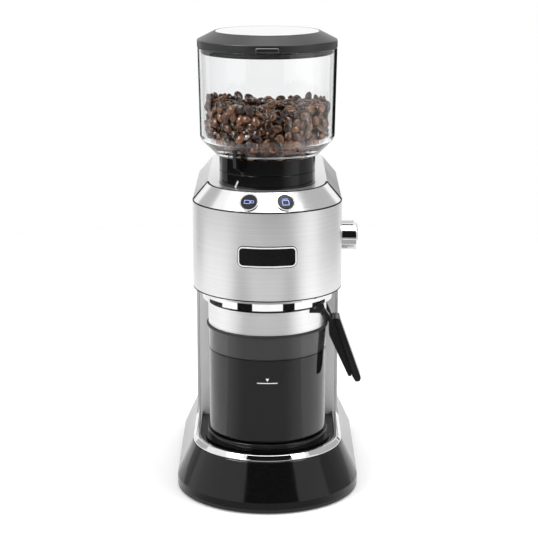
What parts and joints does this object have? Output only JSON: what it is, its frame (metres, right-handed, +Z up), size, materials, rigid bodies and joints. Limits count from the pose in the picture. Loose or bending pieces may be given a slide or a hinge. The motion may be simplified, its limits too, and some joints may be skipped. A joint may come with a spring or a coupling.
{
  "type": "burr coffee grinder",
  "caption": "Upright electric burr coffee grinder with a clear bean hopper, push buttons, dose knob, removable grounds jar with a side lever and a flared base.",
  "frame": {"origin": "on the table, under the middle of the footprint", "axes": "+Z up, front towards -Y, knob and jar lever on the +X side"},
  "size_m": [0.1567, 0.242, 0.389],
  "materials": {
    "black_gloss": "high gloss",
    "black_matte": "fine moulded grain",
    "silver_plastic": "metallic satin paint",
    "brushed_steel": "fine horizontal brushing",
    "chrome_plate": "polished",
    "button_black": "high gloss with a printed pictogram",
    "clear_plastic": "clear, polished",
    "smoke_plastic": "dark smoke tint, polished",
    "rubber": "matt",
    "burr_steel": "hardened, ground",
    "steel": "turned",
    "gear_plastic": "natural acetal",
    "bronze": "sintered, oiled",
    "zinc_plate": "zinc plated",
    "core_iron": "laminated",
    "cast_aluminium": "die cast",
    "circuit_board": "solder mask",
    "roasted_beans": "roasted, slightly oily"
  },
  "bodies": {
    "grinder": {"base_plate": "black_matte", "base_screws": "steel", "base_shell": "black_gloss", "base_skirt": "silver_plastic", "base_trim": "chrome_plate", "burr_bushes": "bronze", "burr_housing": "cast_aluminium", "button_bezels": "chrome_plate", "button_switches": "black_matte", "collar_base": "black_gloss", "column_panel": "brushed_steel", "column_shell": "silver_plastic", "control_panel": "brushed_steel", "cord_bush": "black_matte", "front_band": "brushed_steel", "gear_frame": "cast_aluminium", "grounds_chute": "black_matte", "head_floor": "black_matte", "head_shell": "silver_plastic", "idler_axle": "steel", "jar_tray": "black_gloss", "knob_encoder": "black_matte", "motor_bracket": "zinc_plate", "motor_bushes": "bronze", "motor_can": "zinc_plate", "motor_screws": "steel", "neck_cone": "chrome_plate", "panel_frame": "black_matte", "power_board": "circuit_board", "rubber_feet": "rubber", "switch_bracket": "black_matte", "top_cover": "silver_plastic"},
    "hopper": {"hopper_bowl": "clear_plastic", "hopper_ring": "black_gloss", "bean_fill": "roasted_beans"},
    "lid": {"hopper_lid": "black_gloss", "lid_disc": "brushed_steel", "lid_plug": "black_gloss", "lid_seal": "rubber"},
    "upper_burr": {"burr_carrier": "black_matte", "ring_burr": "burr_steel"},
    "burr_drive": {"burr_shaft": "steel", "cone_burr": "burr_steel", "burr_nut": "steel", "sweeper": "black_matte", "burr_gear": "gear_plastic"},
    "idler": {"idler_gear": "gear_plastic"},
    "rotor": {"motor_rotor": "core_iron", "motor_pinion": "bronze"},
    "button_left": {"left_button": "button_black"},
    "button_right": {"right_button": "button_black"},
    "knob": {"dose_knob": "chrome_plate", "knob_spindle": "steel"},
    "jar": {"grounds_jar": "smoke_plastic", "jar_gasket": "rubber", "jar_lid": "brushed_steel", "lever_pin": "steel"},
    "lever": {"lid_lever": "black_gloss", "lever_cover": "black_gloss"}
  },
  "joints": [
    {"name": "lid_lift", "type": "slide", "parent": "hopper", "child": "lid", "axis": [0, 0, 1], "range_m": [0, 0.06]},
    {"name": "hopper_turn", "type": "hinge", "parent": "grinder", "child": "hopper", "pos_m": [0, -0.0437, 0.2748], "axis": [0, 0, 1], "range_deg": [-45, 45]},
    {"name": "carrier_travel", "type": "slide", "parent": "hopper", "child": "upper_burr", "axis": [0, 0, 1], "range_m": [-0.0006, 0.0006]},
    {"name": "burr_spin", "type": "hinge", "parent": "grinder", "child": "burr_drive", "pos_m": [0, -0.0437, 0.2046], "axis": [0, 0, 1], "continuous": true},
    {"name": "idler_spin", "type": "hinge", "parent": "grinder", "child": "idler", "pos_m": [0, -0.00995, 0.1946], "axis": [0, 0, 1], "continuous": true},
    {"name": "motor_spin", "type": "hinge", "parent": "grinder", "child": "rotor", "pos_m": [0, 0.0488, 0.1346], "axis": [0, 0, 1], "continuous": true},
    {"name": "left_button_press", "type": "slide", "parent": "grinder", "child": "button_left", "axis": [0.1978, 0.7383, -0.6448], "range_m": [0, 0.0008], "stiffness_N_per_m": 400},
    {"name": "right_button_press", "type": "slide", "parent": "grinder", "child": "button_right", "axis": [-0.1978, 0.7383, -0.6448], "range_m": [0, 0.0008], "stiffness_N_per_m": 400},
    {"name": "dose_turn", "type": "hinge", "parent": "grinder", "child": "knob", "pos_m": [0.062, -0.0217, 0.2126], "axis": [1, 0, 0], "range_deg": [-135, 135]},
    {"name": "jar_slide", "type": "slide", "parent": "grinder", "child": "jar", "axis": [0, -1, 0], "range_m": [0, 0.14]},
    {"name": "lever_swing", "type": "hinge", "parent": "jar", "child": "lever", "pos_m": [0.0436, -0.0437, 0.166], "axis": [0, -1, 0], "range_deg": [0, 25]}
  ],
  "couplings": [
    {"joint": "carrier_travel", "follows": "hopper_turn", "m_per_rad": 0.00063662},
    {"joint": "idler_spin", "follows": "burr_spin", "ratio": -2.375},
    {"joint": "motor_spin", "follows": "burr_spin", "ratio": 13.571}
  ]
}
